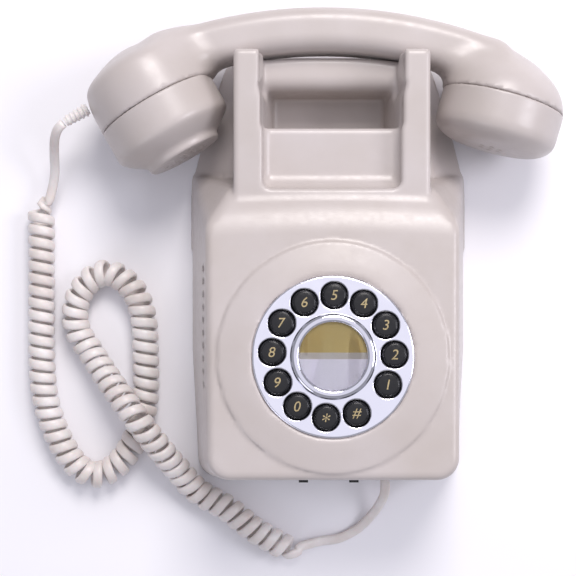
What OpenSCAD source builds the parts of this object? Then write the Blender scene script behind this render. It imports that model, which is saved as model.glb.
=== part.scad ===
// Slimline wall phone with push buttons, a handset on a cradle and a curly cord.
// Frame: the back lies on z = 0, +Z points out of the wall, +Y is up and +X is to the
// right as a person facing the wall sees it. The origin is on the back, on the middle line.

/* [Body] */
// Width of the sloping front face
front_w = 114; // [104:1:126]
// Width across the back edge
rear_w = 138; // [128:1:160]
// Width across the back edge at the bottom corners
foot_w = 132; // [122:1:150]
// Width across the back edge of the cradle end
crown_w = 114; // [108:1:120]
// Distance from the origin down to the back bottom edge
bottom_y = 96; // [85:1:115]
// How far the front bottom edge stands back from the rear one
bottom_draft = 10; // [4:1:16]
// Height where the front face ends and the cradle block starts
face_top_y = 29; // [20:1:34]
// Depth of the body at the top of the front face
face_top_z = 66; // [60:1:80]
// Slope of the front face
face_tilt = 5; // [2:0.5:8]
// Wall of the mouldings
wall = 2.6; // [2:0.1:3.2]
// Radius of the bottom corners
corner_r = 10; // [7:1:14]
// Width of the rounding along the front edges
edge_r = 3; // [1.5:0.5:4]
// Thickness of the back plate
plate_t = 3; // [2.5:0.5:4]

/* [Cradle] */
// Height of the underside of the handle when the handset is hung up
cradle_y = 113; // [108:1:120]
// Space between the two front posts
post_gap = 64; // [56:1:70]
// Width of one post
post_w = 13.5; // [12:0.5:16]
// Depth of the posts in front of the wall
post_z = 60; // [58:1:64]
// How far the post tops stop short of the handle's underside
post_drop = 2.5; // [1.5:0.5:4]
// Depth of the panel between the posts
panel_z = 50; // [48:1:54]
// Lower edge of the panel between the posts
panel_y = 46; // [42:1:50]
// Upper edge of the panel, where the carrying recess starts
grip_y = 75; // [70:1:80]
// Height of the saddle bar under the handle
bar_h = 17.5; // [14:0.5:20]
// Depth of the front of the saddle bar
bar_z = 35; // [32:1:38]
// Depth of the back wall of the carrying recess
grip_z = 6; // [5:0.5:10]

/* [Keypad] */
// Height of the centre of the dial, above the origin
dial_y = -31; // [-36:1:-27]
// Diameter of one button
key_d = 11.2; // [9:0.1:13.5]
// Space left between neighbouring button flanges
key_gap = 1.4; // [1:0.1:2]
// Travel of a button
key_travel = 2; // [1.5:0.1:2.5]
// Rim of the dial plate outside the buttons
dial_rim = 3.4; // [3:0.1:5]
// Slope width of the raised cone around the dial plate
cone_w = 16; // [10:1:18]
// Rise of the raised cone
cone_h = 3; // [2:0.5:4]
// Thickness of the dial plate
dial_t = 1.6; // [1.2:0.1:2.2]
// Thickness of the number card
card_t = 0.5; // [0.3:0.1:1]
// Thickness of the clear window over the card
window_t = 1.2; // [1:0.1:1.6]

/* [Handset] */
// Radius of the back of the handle
handle_r = 227; // [215:1:260]
// Height of the handle's section
handle_h = 21; // [18:0.5:24]
// Depth of the handle's section, front to back
handle_d = 26; // [22:0.5:27]
// Distance of the handset's middle plane from the wall
handset_z = 33; // [32:0.5:36]
// Diameter of the two cups
cup_d = 59; // [54:0.5:60]
// Distance of the mouth cup's rim from the middle line
mouth_x = 83.6; // [82:0.2:92]
// Distance of the ear cup's rim from the middle line
ear_x = 83.5; // [80:0.5:92]
// Height of the cups' rims below the handle's underside
cup_drop = 24; // [22:0.5:28]
// Turn of the mouth cup towards the mouth
mouth_turn = 30; // [26:1:34]
// Turn of the ear cup towards the ear
ear_turn = 16; // [12:1:20]
// Length of the straight side of the caps
cap_side = 16.5; // [14:0.5:18]
// Rise of the mouthpiece's face beyond its side
mouth_rise = 11.5; // [9:0.5:12]
// Rise of the earpiece's face beyond its side
ear_rise = 6.5; // [5:0.5:8]
// Diameter of the flat face of the mouthpiece
mouth_face_d = 38; // [34:1:42]

/* [Cord] */
// Width of the flat cord
cord_w = 4.8; // [4.2:0.1:5.4]
// Thickness of the flat cord
cord_t = 2.6; // [2.2:0.1:3]
// Outer diameter of the curly part
curl_d = 13.6; // [12:0.1:14]

/* [Motion] */
// Travel of a slide switch to each side
knob_travel = 2; // [1.5:0.1:2.5]

/* [Fits] */
// Gap round pieces that move past each other
move_gap = 0.4; // [0.3:0.05:0.5]
// Gap round pieces that are fixed together
fix_gap = 0.2; // [0.1:0.05:0.3]

/* [Mounting] */
// Radius of the two wall screw holes
wall_hole_r = 2.5; // [2:0.1:3]
// Distance between the two wall screw holes
wall_hole_dx = 80; // [70:1:90]
// Height of the wall screw holes
wall_hole_y = -70; // [-75:1:-66]
// Height of the hanging keyhole's narrow end
keyhole_y = 48; // [44:1:50]
// Radius of the screws that hold the cover
screw_r = 1.6; // [1.4:0.1:1.8]

/* [Hidden] */
$fn = 48;

// Colours
ivory = "#d9cfd0";
ivory_light = "#e6dedc";
chrome = "#d4d4de";
black = "#18181c";
steel = "#a9adb2";
green = "#2c5c3a";

// Body
post_x = post_gap / 2 + post_w;
post_top_y = cradle_y - post_drop;
crown_y = cradle_y + 0.7;
shoulder_y = 58;
block_y = 40;
crown_chamfer = 6;
wing_z = 22;
boss_r = 4.5;
boss_h = 60;
boss_low = [front_w / 2, 16 - bottom_y];
boss_high = [post_x + 5, 44];
jack_x = 28;
jack_z = 15;
knob_x = 12.6;
knob_z = 12;
knob_w = 4.6;
knob_h = 3;
louvre_count = 10;
louvre_pitch = 6;
louvre_w = 2;

// Main board, sockets and ringer
board_z = 7;
board_half_w = 44;
board_low = 7 - bottom_y;
board_high = -6;
line_w = 13;
line_l = 13;
line_y = 8;
line_h = 14;
plug_w = 7.7;
plug_h = 6.6;
plug_l = 12;
plug_y = 2 - bottom_y;
gong_x = 20;
gong_y = 55;
gong_r = 15;
gong_z = 16;
bracket_z = 10;
pivot_y = 43;
ball_r = 3;

// Keypad, in heights along the normal of the front face
flange_lip = 0.6;
key_step = 29.05;
key_first = -27.3;
key_order = ["1", "2", "3", "4", "5", "6", "7", "8", "9", "0", "star", "hash"];
key_flange_r = key_d / 2 + flange_lip;
key_ring_r = (2 * key_flange_r + key_gap) / (2 * sin(key_step / 2));
dial_r = key_ring_r + key_d / 2 + dial_rim;
card_ring_r = key_ring_r - key_d / 2 - 2.4;
window_r = card_ring_r - 3.3;
dial_seat = cone_h - dial_t + 0.3;
flange_t = 1;
flange_top = dial_seat - move_gap;
stem_r = 2.4;
stem_low = flange_top - flange_t - 3.4;
mat_t = 1.4;
mat_top = stem_low - key_travel - move_gap;
board_t = 1.6;
hub_r = key_ring_r - key_flange_r - move_gap;
frame_wall = 1.2;
frame_r = key_ring_r + key_flange_r + move_gap + frame_wall;
frame_screw_r = hub_r - 3;

// Handset
belly_r = handle_r - handle_h;
arc_x = -3.4;
arc_y = cradle_y - belly_r;
handle_half_angle = 15;
handle_pieces = 4;
handle_step = 2 * (handle_half_angle + 2) / handle_pieces;
mouth_axis = [sin(mouth_turn), -cos(mouth_turn)];
ear_axis = [-sin(ear_turn), -cos(ear_turn)];
mouth_c = [-mouth_x, cradle_y - cup_drop - 1];
ear_c = [ear_x, cradle_y - cup_drop + 0.5];
// Distance behind the rim and radius of the rings that shape the backs of the cups
mouth_rings = [[0, 29.5], [16, 29], [22, 26.5], [26.5, 18], [30, 9]];
ear_rings = [[0, 29.5], [6, 28.5], [12, 24.5], [19, 15.5], [24.5, 4]];
thread_d = cup_d - 2 * wall - 1;
thread_l = 8;
capsule_d = 44;
boot_l = 12.5;
boot_d = 7;

// Hook
hook_x = post_gap / 2 + post_w / 2;
plunger_r = 2.5;
hook_bar_y = cradle_y - bar_h + wall + 0.5;
hook_bar_t = 2.6;
hook_arm_y = hook_bar_y - 13;

// Routes of the cord, in millimetres
boot_start = [-117, 86.5, handset_z];
boot_end = [-127.8, 80.2, handset_z];
handset_tail_route = [[-128.8, 79.6, 33], [-131.5, 77, 32], [-134, 72.5, 27.5], [-135.5, 66, 20.5],
                      [-136.5, 58, 14], [-138.5, 50, 10], [-141, 43, 9]];
curl_route = [[-144.5, 43, 7], [-144.5, 27, 7], [-144.5, 11, 7], [-144.5, -6, 7], [-144.5, -25, 7],
              [-144, -44, 7], [-141.5, -60, 7], [-136, -75, 7], [-128, -88, 7], [-118, -94, 7],
              [-107.5, -90, 7], [-99, -79, 7], [-94, -66.5, 7], [-92, -52, 7], [-92, -34, 7],
              [-93, -16, 7], [-97, -3, 7], [-104.5, 5, 7], [-113, 7.5, 7], [-121, 3, 7],
              [-126.5, -6, 7], [-127.5, -16, 7], [-125, -24, 7], [-119.5, -32, 8],
              [-112.5, -42, 12], [-102.5, -54.5, 18.5], [-94, -65.5, 22], [-85, -78, 18],
              [-75.5, -91, 11], [-65.5, -102.5, 7.5], [-51, -111, 7], [-38.5, -121, 7],
              [-27.5, -127.5, 7], [-16.5, -133, 7]];
base_tail_route = [[-14, -130.5, 6.5], [-4, -128.5, 3], [6, -127, 2], [15.5, -122, 2],
                   [23, -113.5, 5], [27, -106, 10], [28, -101, 14],
                   [jack_x, plug_y, jack_z]];

// Back edge, right half, from the bottom middle to the top, drawn in by d
function half_edge(d) = concat(
    [for (a = [-90:15:-15])
        [foot_w / 2 - corner_r + (corner_r - d) * cos(a),
         corner_r - bottom_y + (corner_r - d) * sin(a)]],
    [[rear_w / 2 - d, -30], [rear_w / 2 - d, shoulder_y],
     [(rear_w + crown_w) / 4 + 1 - d, 74],
     [crown_w / 2 - d, crown_y - 8 - d / 2],
     [crown_w / 2 - crown_chamfer - d / 2, crown_y - d]]);
function mirrored(half) =
    concat(half, [for (i = [len(half) - 1:-1:0]) [-half[i][0], half[i][1]]]);
function part_of(half, low, high) = [for (p = half) if (p[1] >= low && p[1] <= high) p];
function inner_low(z) = wall + fix_gap - bottom_y + bottom_draft * z / face_top_z;
function face_z(y) = face_top_z + (face_top_y - y) * tan(face_tilt);
function floor_y(x) = arc_y + sqrt(pow(belly_r - move_gap, 2) - pow(x - arc_x, 2));
function key_angle(i) = key_first + i * key_step;

// Frame on the front face, with its origin at the centre of the dial
module on_face(h = 0) {
    translate([0, dial_y, face_z(dial_y)])
        rotate([-face_tilt, 0, 0])
            translate([0, 0, h])
                children();
}

module at_key(i) {
    on_face()
        rotate(key_angle(i))
            translate([key_ring_r, 0, 0])
                rotate(-key_angle(i))
                    children();
}

// A solid of revolution whose axis lies in the middle plane of the handset
module on_axis(centre, axis) {
    translate([centre[0], centre[1], handset_z])
        rotate([0, 0, atan2(axis[1], axis[0])])
            rotate([0, 90, 0])
                children();
}

module box(low, high) {
    translate(low)
        cube(high - low);
}

module tube(outer, inner, height) {
    difference() {
        cylinder(r = outer, h = height);
        translate([0, 0, -1])
            cylinder(r = inner, h = height + 2);
    }
}

// A tube with an oval section, carried along a route
module sweep(route, width, height, sides) {
    last = len(route) - 1;
    rings = [for (i = [0:last])
        let (t = route[min(i + 1, last)] - route[max(i - 1, 0)],
             s = cross(t, [0, 0, 1]) / norm(cross(t, [0, 0, 1])),
             u = cross(s, t) / norm(t))
            for (k = [0:sides - 1])
                route[i] + s * width / 2 * cos(360 * k / sides)
                    + u * height / 2 * sin(360 * k / sides)];
    walls = [for (i = [0:last - 1], k = [0:sides - 1])
        let (n = (k + 1) % sides)
            [i * sides + k, (i + 1) * sides + k, (i + 1) * sides + n, i * sides + n]];
    ends = [[for (k = [0:sides - 1]) k], [for (k = [sides - 1:-1:0]) last * sides + k]];
    polyhedron(points = rings, faces = concat(walls, ends), convexity = 8);
}

// Lower, deep part of the body, with its surfaces drawn in by d
module deep_form(d) {
    face_len = (face_top_y + bottom_y - bottom_draft) / cos(face_tilt);
    face_low = (bottom_draft - bottom_y - dial_y) / cos(face_tilt);
    hull() {
        translate([0, 0, d > 0 ? -1 : 0])
            linear_extrude(d > 0 ? plate_t + 1.3 : 2)
                polygon(mirrored(part_of(half_edge(d), -200, shoulder_y)));
        on_face(-d)
            for (x = [-1, 1], level = [0, 1]) {
                translate([x * (front_w / 2 - corner_r), face_low + corner_r, -1 - level * edge_r])
                    cylinder(r = corner_r - d - (1 - level) * edge_r, h = 1, $fn = 32);
                translate([x * (front_w / 2 - edge_r - 3), face_low + face_len - edge_r - 3,
                           -1 - level * edge_r])
                    cylinder(r = 3.1 + level * edge_r - d, h = 1, $fn = 32);
            }
        box([d - post_x, block_y, post_z - 8 - d], [post_x - d, panel_y - d, post_z - d]);
    }
}

// Block of the two posts
module post_form(d) {
    box([d - post_x, block_y, d > 0 ? -1 : 0], [post_x - d, post_top_y - d, post_z - 2 - d]);
    box([2 + d - post_x, block_y, post_z - 3 - d], [post_x - 2 - d, post_top_y - 1.5 - d, post_z - d]);
}

// Wide, shallow back of the cradle end
module wing_form(d) {
    hull() {
        translate([0, 0, d > 0 ? -1 : 0])
            linear_extrude(d > 0 ? plate_t + 1.3 : 2)
                polygon(mirrored(part_of(half_edge(d), 0, 200)));
        box([d - post_x, block_y, 1], [post_x - d, crown_y - d, wing_z - d]);
    }
}

// Everything that is open between, behind and above the posts, grown by d
module cradle_opening(d) {
    reach = 60;
    rotate([90, 0, 90])
        translate([0, 0, -post_gap / 2 - d])
            linear_extrude(post_gap + 2 * d)
                polygon([[panel_y - d, post_z + 1], [panel_y + 3 - d, panel_z + 4 - d],
                         [panel_y + 8 - d, panel_z - d], [cradle_y + reach, panel_z - d],
                         [cradle_y + reach, post_z + 9], [panel_y - d, post_z + 9]]);
    rotate([90, 0, 0])
        translate([0, 0, bar_h - cradle_y - d])
            linear_extrude(cradle_y - bar_h - grip_y + 2 * d)
                polygon([[-post_gap / 2 + 4 - d, grip_z - d], [post_gap / 2 - 4 + d, grip_z - d],
                         [post_gap / 2 + d, panel_z + 1], [-post_gap / 2 - d, panel_z + 1]]);
    box([-post_gap / 2 - d, cradle_y - bar_h - 2 - d, bar_z - d],
        [post_gap / 2 + d, cradle_y + reach, panel_z + 1]);
    translate([arc_x, arc_y, handset_z - handle_d / 2 - move_gap - d])
        rotate([0, 0, 60])
            rotate_extrude(angle = 60, $fn = 360)
                translate([belly_r - move_gap - d, 0])
                    square([reach, handle_d + 2 * (move_gap + d)]);
}

module front_cover() {
    color(ivory)
    difference() {
        union() {
            difference() {
                union() {
                    deep_form(0);
                    post_form(0);
                    wing_form(0);
                    on_face(-1)
                        cylinder(r1 = dial_r + cone_w, r2 = dial_r + 1.5, h = cone_h + 1, $fn = 96);
                }
                cradle_opening(0);
                difference() {
                    union() {
                        deep_form(wall);
                        post_form(wall);
                        wing_form(wall);
                    }
                    cradle_opening(wall);
                }
            }
            intersection() {
                deep_form(wall / 2);
                for (x = [-1, 1], p = [boss_low, boss_high])
                    translate([x * p[0], p[1], plate_t + fix_gap])
                        cylinder(r = boss_r, h = boss_h, $fn = 32);
            }
            on_face(-14)
                tube(frame_r + 3, frame_r + fix_gap, 12);
        }
        for (x = [-1, 1], p = [boss_low, boss_high])
            translate([x * p[0], p[1], 0])
                cylinder(r = screw_r, h = 22, $fn = 24);
        on_face(dial_seat)
            cylinder(r = dial_r + fix_gap, h = 9, $fn = 96);
        on_face(-wall - 9)
            cylinder(r = frame_r + fix_gap, h = 20, $fn = 96);
        for (x = [-1, 1])
            translate([x * hook_x, 0, handset_z])
                rotate([-90, 0, 0])
                    cylinder(r = plunger_r + move_gap, h = crown_y + 9, $fn = 32);
        for (x = [-1, 1])
            box([x * knob_x - knob_w / 2 - knob_travel - move_gap, -bottom_y - 5,
                 knob_z - knob_h / 2 - move_gap],
                [x * knob_x + knob_w / 2 + knob_travel + move_gap, 12 - bottom_y,
                 knob_z + knob_h / 2 + move_gap]);
        box([jack_x - 5, -bottom_y - 5, jack_z - 4.2], [jack_x + 5, 12 - bottom_y, jack_z + 4.2]);
        for (i = [0:louvre_count - 1])
            box([-rear_w / 2, face_top_y - 21 - i * louvre_pitch, face_top_z - 16],
                [-front_w / 2 + 6, face_top_y - 21 - i * louvre_pitch + louvre_w, face_top_z - 7]);
    }
}

module back_plate() {
    color("#c9c2c2")
    difference() {
        union() {
            linear_extrude(plate_t)
                polygon(mirrored(half_edge(wall + fix_gap)));
            for (x = [-1, 1], y = [board_low + 8, board_high - 5])
                translate([x * (board_half_w - 5), y, 0])
                    cylinder(r = 3, h = board_z);
            box([hook_x - 3, hook_arm_y - 15, 1], [hook_x + 3, hook_arm_y - 12, handset_z + 3]);
            box([-hook_x - 3, hook_arm_y - 17, 1], [3 - hook_x, hook_arm_y - 15, handset_z + 3]);
        }
        for (x = [-1, 1], y = [board_low + 8, board_high - 5])
            translate([x * (board_half_w - 5), y, 1])
                cylinder(r = 1.2, h = board_z);
        for (x = [-1, 1])
            translate([x * wall_hole_dx / 2, wall_hole_y, -1])
                cylinder(r = wall_hole_r, h = plate_t + 2);
        translate([0, keyhole_y, -1])
            cylinder(r = wall_hole_r, h = plate_t + 2);
        box([-wall_hole_r, keyhole_y - 9, -1], [wall_hole_r, keyhole_y, plate_t + 1]);
        translate([0, keyhole_y - 10, -1])
            cylinder(r = 4.6, h = plate_t + 2);
        for (x = [-1, 1], p = [boss_low, boss_high]) {
            translate([x * p[0], p[1], -1])
                cylinder(r = screw_r + 0.3, h = plate_t + 2);
            translate([x * p[0], p[1], -1])
                cylinder(r = screw_r + 1.9, h = 1 + plate_t / 2);
        }
        box([-line_w / 2 - fix_gap, line_y, -1], [line_w / 2 + fix_gap, line_y + line_l, plate_t + 1]);
    }
}

module cover_screws() {
    color(steel)
    for (x = [-1, 1], p = [boss_low, boss_high]) {
        translate([x * p[0], p[1], 0.3])
            cylinder(r = screw_r + 1.6, h = plate_t / 2 - 0.3);
        translate([x * p[0], p[1], plate_t / 2 - 0.1])
            cylinder(r = screw_r, h = 14);
    }
}

module dial_plate() {
    color(chrome)
    difference() {
        on_face(dial_seat) {
            cylinder(r = dial_r, h = dial_t - 0.4, $fn = 96);
            translate([0, 0, dial_t - 0.5])
                cylinder(r1 = dial_r, r2 = dial_r - 0.5, h = 0.5, $fn = 96);
        }
        for (i = [0:11])
            at_key(i)
                translate([0, 0, dial_seat - 1])
                    cylinder(r = key_d / 2 + move_gap, h = dial_t + 2);
        on_face(dial_seat - 1)
            cylinder(r = window_r - 2, h = dial_t + 2);
        for (a = [45:90:315])
            on_face(dial_seat - 1)
                rotate(a)
                    translate([frame_screw_r, 0, 0])
                        cylinder(r = 1, h = 1.8, $fn = 24);
    }
}

module card_ring() {
    color(chrome)
    on_face(dial_seat + dial_t)
        difference() {
            union() {
                cylinder(r = card_ring_r, h = 1, $fn = 96);
                cylinder(r1 = card_ring_r - 0.6, r2 = card_ring_r - 1.6, h = 2.4, $fn = 96);
            }
            translate([0, 0, -1])
                cylinder(r = window_r - 1, h = 5);
            translate([0, 0, -1])
                cylinder(r = window_r + fix_gap, h = 1 + card_t + window_t + fix_gap);
        }
}

module number_card() {
    color("#cdbf8e")
    on_face(dial_seat + dial_t)
        cylinder(r = window_r, h = card_t);
}

module card_window() {
    color("#eeeef4", 0.4)
    on_face(dial_seat + dial_t + card_t)
        cylinder(r = window_r, h = window_t);
}

module keypad_frame() {
    color(black)
    difference() {
        union() {
            on_face(mat_top - mat_t)
                tube(frame_r, frame_r - frame_wall, dial_seat - mat_top + mat_t);
            on_face(mat_top)
                tube(hub_r, hub_r - 6, dial_seat - mat_top);
            on_face(mat_top)
                difference() {
                    cylinder(r = frame_r - 1, h = 1);
                    for (i = [0:11])
                        rotate(key_angle(i))
                            translate([key_ring_r, 0, -1])
                                cylinder(r = stem_r + 1, h = 3);
                }
        }
        for (a = [45:90:315])
            on_face(mat_top - 1)
                rotate(a)
                    translate([frame_screw_r, 0, 0])
                        cylinder(r = 0.95, h = 12, $fn = 24);
    }
}

module keypad_mat() {
    color("#5a5a60")
    difference() {
        on_face(mat_top - mat_t)
            cylinder(r = frame_r - frame_wall - fix_gap, h = mat_t);
        for (a = [45:90:315])
            on_face(mat_top - mat_t - 1)
                rotate(a)
                    translate([frame_screw_r, 0, 0])
                        cylinder(r = 1.2, h = 12, $fn = 24);
    }
}

module keypad_board() {
    color(green)
    difference() {
        on_face(mat_top - mat_t - board_t)
            cylinder(r = frame_r, h = board_t);
        for (a = [45:90:315])
            on_face(mat_top - mat_t - board_t - 1)
                rotate(a)
                    translate([frame_screw_r, 0, 0])
                        cylinder(r = 1.2, h = 12, $fn = 24);
    }
}

module keypad_screws() {
    color(steel)
    for (a = [45:90:315])
        on_face(mat_top - mat_t - board_t)
            rotate(a)
                translate([frame_screw_r, 0, 0]) {
                    translate([0, 0, -1.4])
                        cylinder(r = 1.9, h = 1.4);
                    cylinder(r = 0.9, h = dial_seat - mat_top + mat_t + board_t + 0.6);
                }
}

// Flat ribbon that hangs from the keypad board to the main board
module keypad_cable() {
    top = face_z(dial_y) + mat_top - mat_t - board_t;
    color("#b9b4a8")
    rotate([90, 0, 90])
        translate([0, 0, -8])
            linear_extrude(16)
                polygon([[dial_y + 2, top - 1], [dial_y + 3, top - 1], [dial_y + 9, top - 14],
                         [dial_y + 7, board_z + 12], [dial_y + 3, board_z + board_t + 0.1],
                         [dial_y + 2, board_z + board_t + 0.1], [dial_y + 6, board_z + 12],
                         [dial_y + 8, top - 14]]);
}

module key(i) {
    color(black)
    at_key(i) {
        translate([0, 0, stem_low])
            cylinder(r = stem_r, h = flange_top - stem_low - 0.2);
        translate([0, 0, flange_top - flange_t])
            cylinder(r = key_flange_r, h = flange_t);
        translate([0, 0, flange_top - 0.1])
            cylinder(r = key_d / 2, h = dial_t + move_gap + 0.5);
        translate([0, 0, dial_seat + dial_t + 0.3])
            rotate_extrude()
                polygon(concat([[0, 0]], [for (a = [0:15:90])
                    [(key_d / 2 - 0.6) * cos(a), 0.6 + 1.4 * sin(a)]]));
        translate([0, 0, dial_seat + dial_t + 0.3])
            cylinder(r = key_d / 2 - 0.6, h = 0.7);
    }
}

module main_board() {
    color(green)
    difference() {
        box([-board_half_w, board_low, board_z], [board_half_w, board_high, board_z + board_t]);
        for (x = [-1, 1], y = [board_low + 8, board_high - 5])
            translate([x * (board_half_w - 5), y, 0])
                cylinder(r = 1.4, h = 30);
    }
}

// Capacitors, transformer and the two integrated circuits
module board_parts() {
    color("#2c3550")
    for (c = [[-26, -30, 5, 16], [-12, -28, 4, 12], [30, -26, 5, 14], [18, -60, 3.2, 9]])
        translate([c[0], c[1], board_z + board_t])
            cylinder(r = c[2], h = c[3]);
    color("#1d1d20") {
        box([-30, -66, board_z + board_t], [-8, -58, board_z + board_t + 4]);
        box([8, -48, board_z + board_t], [26, -40, board_z + board_t + 4]);
        box([-36, -50, board_z + board_t], [-20, -38, board_z + board_t + 13]);
    }
}

module board_screws() {
    color(steel)
    for (x = [-1, 1], y = [board_low + 8, board_high - 5])
        translate([x * (board_half_w - 5), y, 0]) {
            translate([0, 0, 2])
                cylinder(r = 1.1, h = board_z);
            translate([0, 0, board_z + board_t])
                cylinder(r = 2.6, h = 1.6);
        }
}

module ringer_bracket() {
    color(steel) {
        box([-34, gong_y - 33, bracket_z], [34, gong_y + 12, bracket_z + 1.5]);
        for (x = [-30, 30], y = [gong_y - 29, gong_y + 8])
            translate([x, y, plate_t])
                cylinder(r = 2.5, h = bracket_z - plate_t + 0.5);
        translate([0, pivot_y, bracket_z])
            cylinder(r = 1.5, h = 15);
        for (x = [-gong_x, gong_x])
            translate([x, gong_y, bracket_z])
                cylinder(r = 3, h = gong_z + 9 - bracket_z - 1.2);
    }
}

module ringer_coil() {
    color("#b5562e")
    translate([-15, pivot_y - 13, bracket_z + 1.5 + 8])
        rotate([0, 90, 0]) {
            cylinder(r = 6.6, h = 30);
            cylinder(r = 8, h = 1.5);
            translate([0, 0, 28.5])
                cylinder(r = 8, h = 1.5);
        }
}

module gongs() {
    color(chrome)
    for (x = [-gong_x, gong_x])
        translate([x, gong_y, gong_z])
            difference() {
                union() {
                    cylinder(r1 = gong_r, r2 = gong_r - 2, h = 6);
                    translate([0, 0, 6])
                        cylinder(r1 = gong_r - 2, r2 = 5, h = 3);
                }
                translate([0, 0, -1.2])
                    cylinder(r1 = gong_r - 0.8, r2 = gong_r - 3.2, h = 6.5);
                translate([0, 0, 5.2])
                    cylinder(r1 = gong_r - 3.2, r2 = 5, h = 2.6);
                cylinder(r = 1.6, h = 30);
            }
}

module gong_screws() {
    color(steel)
    for (x = [-gong_x, gong_x])
        translate([x, gong_y, gong_z + 9]) {
            cylinder(r = 3, h = 1.6);
            translate([0, 0, -1.1])
                cylinder(r = 1.5, h = 2);
        }
}

// Hammer between the gongs, turning on the pin of the bracket
module clapper() {
    color(steel) {
        translate([0, pivot_y, bracket_z + 2.5])
            tube(3.2, 1.55, 10);
        box([-0.8, pivot_y + 2.6, gong_z + 1], [0.8, gong_y, gong_z + 3]);
        translate([0, gong_y, gong_z + 2])
            sphere(r = ball_r);
    }
}

// Two plungers joined by a bar that passes inside the saddle bar
module hook_bar() {
    color(ivory)
    for (x = [-1, 1]) {
        box([min(0, x * hook_x), hook_bar_y, handset_z - 9],
            [max(0, x * hook_x), hook_bar_y + hook_bar_t, handset_z - 3]);
        box([x * hook_x - 3.2, hook_arm_y, handset_z - 9],
            [x * hook_x + 3.2, hook_bar_y + 1.2, handset_z + 3]);
        translate([x * hook_x, hook_arm_y + 5, handset_z])
            rotate([-90, 0, 0])
                cylinder(r = plunger_r,
                         h = floor_y(x * (hook_x + plunger_r)) - hook_arm_y - 5, $fn = 32);
    }
}

// Compression spring between an upright of the back plate and the right-hand arm
module hook_spring() {
    turns = 6;
    wire = 0.8;
    steps = 14;
    length = 12 - 2 * move_gap - wire;
    route = [for (i = [0:turns * steps])
        let (a = 360 * i / steps)
            [2.6 * cos(a), wire / 2 + length * i / (turns * steps), 2.6 * sin(a)]];
    color(steel)
    translate([hook_x, hook_arm_y - 12 + move_gap, handset_z - 3])
        coil_wire(route, wire);
}

module coil_wire(route, width) {
    last = len(route) - 1;
    rings = [for (i = [0:last])
        let (t = route[min(i + 1, last)] - route[max(i - 1, 0)],
             s = cross(t, [0, 1, 0]) / norm(cross(t, [0, 1, 0])),
             u = cross(s, t) / norm(t))
            for (k = [0:4])
                route[i] + s * width / 2 * cos(72 * k) + u * width / 2 * sin(72 * k)];
    walls = [for (i = [0:last - 1], k = [0:4])
        let (n = (k + 1) % 5)
            [i * 5 + k, (i + 1) * 5 + k, (i + 1) * 5 + n, i * 5 + n]];
    ends = [[for (k = [0:4]) k], [for (k = [4:-1:0]) last * 5 + k]];
    polyhedron(points = rings, faces = concat(walls, ends), convexity = 8);
}

module hook_switch() {
    color(black) {
        box([-hook_x - 3, hook_arm_y - 15, handset_z - 9], [3 - hook_x, hook_arm_y - 4, handset_z + 3]);
        box([-hook_x - 1, hook_arm_y - 4, handset_z - 4],
            [1 - hook_x, hook_arm_y - move_gap, handset_z - 1]);
    }
}

// Sliding knob of a switch, drawn at its middle place
module knob(x) {
    color(black)
    box([x - knob_w / 2, -bottom_y - 1, knob_z - knob_h / 2],
        [x + knob_w / 2, 10 - bottom_y, knob_z + knob_h / 2]);
}

module knob_switch(x) {
    color(steel)
    difference() {
        box([x - 8, inner_low(knob_z + 4), board_z + board_t], [x + 8, 14 - bottom_y, knob_z + 4]);
        box([x - knob_w / 2 - knob_travel - move_gap, -bottom_y, knob_z - knob_h / 2 - move_gap],
            [x + knob_w / 2 + knob_travel + move_gap, 10.5 - bottom_y,
             knob_z + knob_h / 2 + move_gap]);
    }
}

module volume_knob() {
    knob(-knob_x);
}

module volume_switch() {
    knob_switch(-knob_x);
}

module mode_knob() {
    knob(knob_x);
}

module mode_switch() {
    knob_switch(knob_x);
}

// Socket in the bottom edge that takes the handset cord's plug
module handset_jack() {
    color(black)
    difference() {
        box([jack_x - 5.8, inner_low(jack_z + 5), board_z + board_t],
            [jack_x + 5.8, plug_y + plug_l + 3, jack_z + 5]);
        box([jack_x - plug_w / 2 - fix_gap, -bottom_y, jack_z - plug_h / 2 - fix_gap],
            [jack_x + plug_w / 2 + fix_gap, plug_y + plug_l + fix_gap, jack_z + plug_h / 2 + fix_gap]);
    }
}

// Socket in the back that takes the line cord
module line_jack() {
    color(black)
    difference() {
        box([-line_w / 2, line_y, 0], [line_w / 2, line_y + line_l, line_h]);
        box([-4.9, line_y + 3, -1], [4.9, line_y + 9.8, line_h - 2.5]);
    }
}

// Section of the handle, seen along it, with round corners. Its underside is drawn in a
// little, so that the straight pieces between slices stay outside the belly's circle.
function handle_section(d) =
    [for (c = [[1, 1], [-1, 1], [-1, -1], [1, -1]], a = [0:18:90])
        let (turn = c[0] * c[1] > 0 ? a : 90 - a,
             inner = c[0] < 0 ? belly_r * (1 / cos(handle_step / 2) - 1) : 0)
            [belly_r + handle_h / 2 + inner + c[0] * (handle_h / 2 - 8 + (8 - d) * cos(turn)),
             c[1] * (handle_d / 2 - 8 + (8 - d) * sin(turn))]];

// Thin slice of the handle, a given angle round from its middle
module handle_slice(angle, d) {
    translate([arc_x, arc_y, handset_z])
        rotate([0, 0, 90 + angle])
            rotate([90, 0, 0])
                translate([0, 0, -1])
                    linear_extrude(2)
                        polygon(handle_section(d));
}

// Back of a cup: rings along its axis, joined to the end of the handle
module cup_back(centre, axis, rings, angle, d) {
    hull() {
        on_axis(centre, -axis)
            for (ring = rings)
                translate([0, 0, ring[0] > 0 ? ring[0] - d : -d / 4])
                    cylinder(r = ring[1] * cup_d / 59 - d, h = 0.5, $fn = 36);
        handle_slice(angle, d + 1.5);
    }
}

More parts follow.
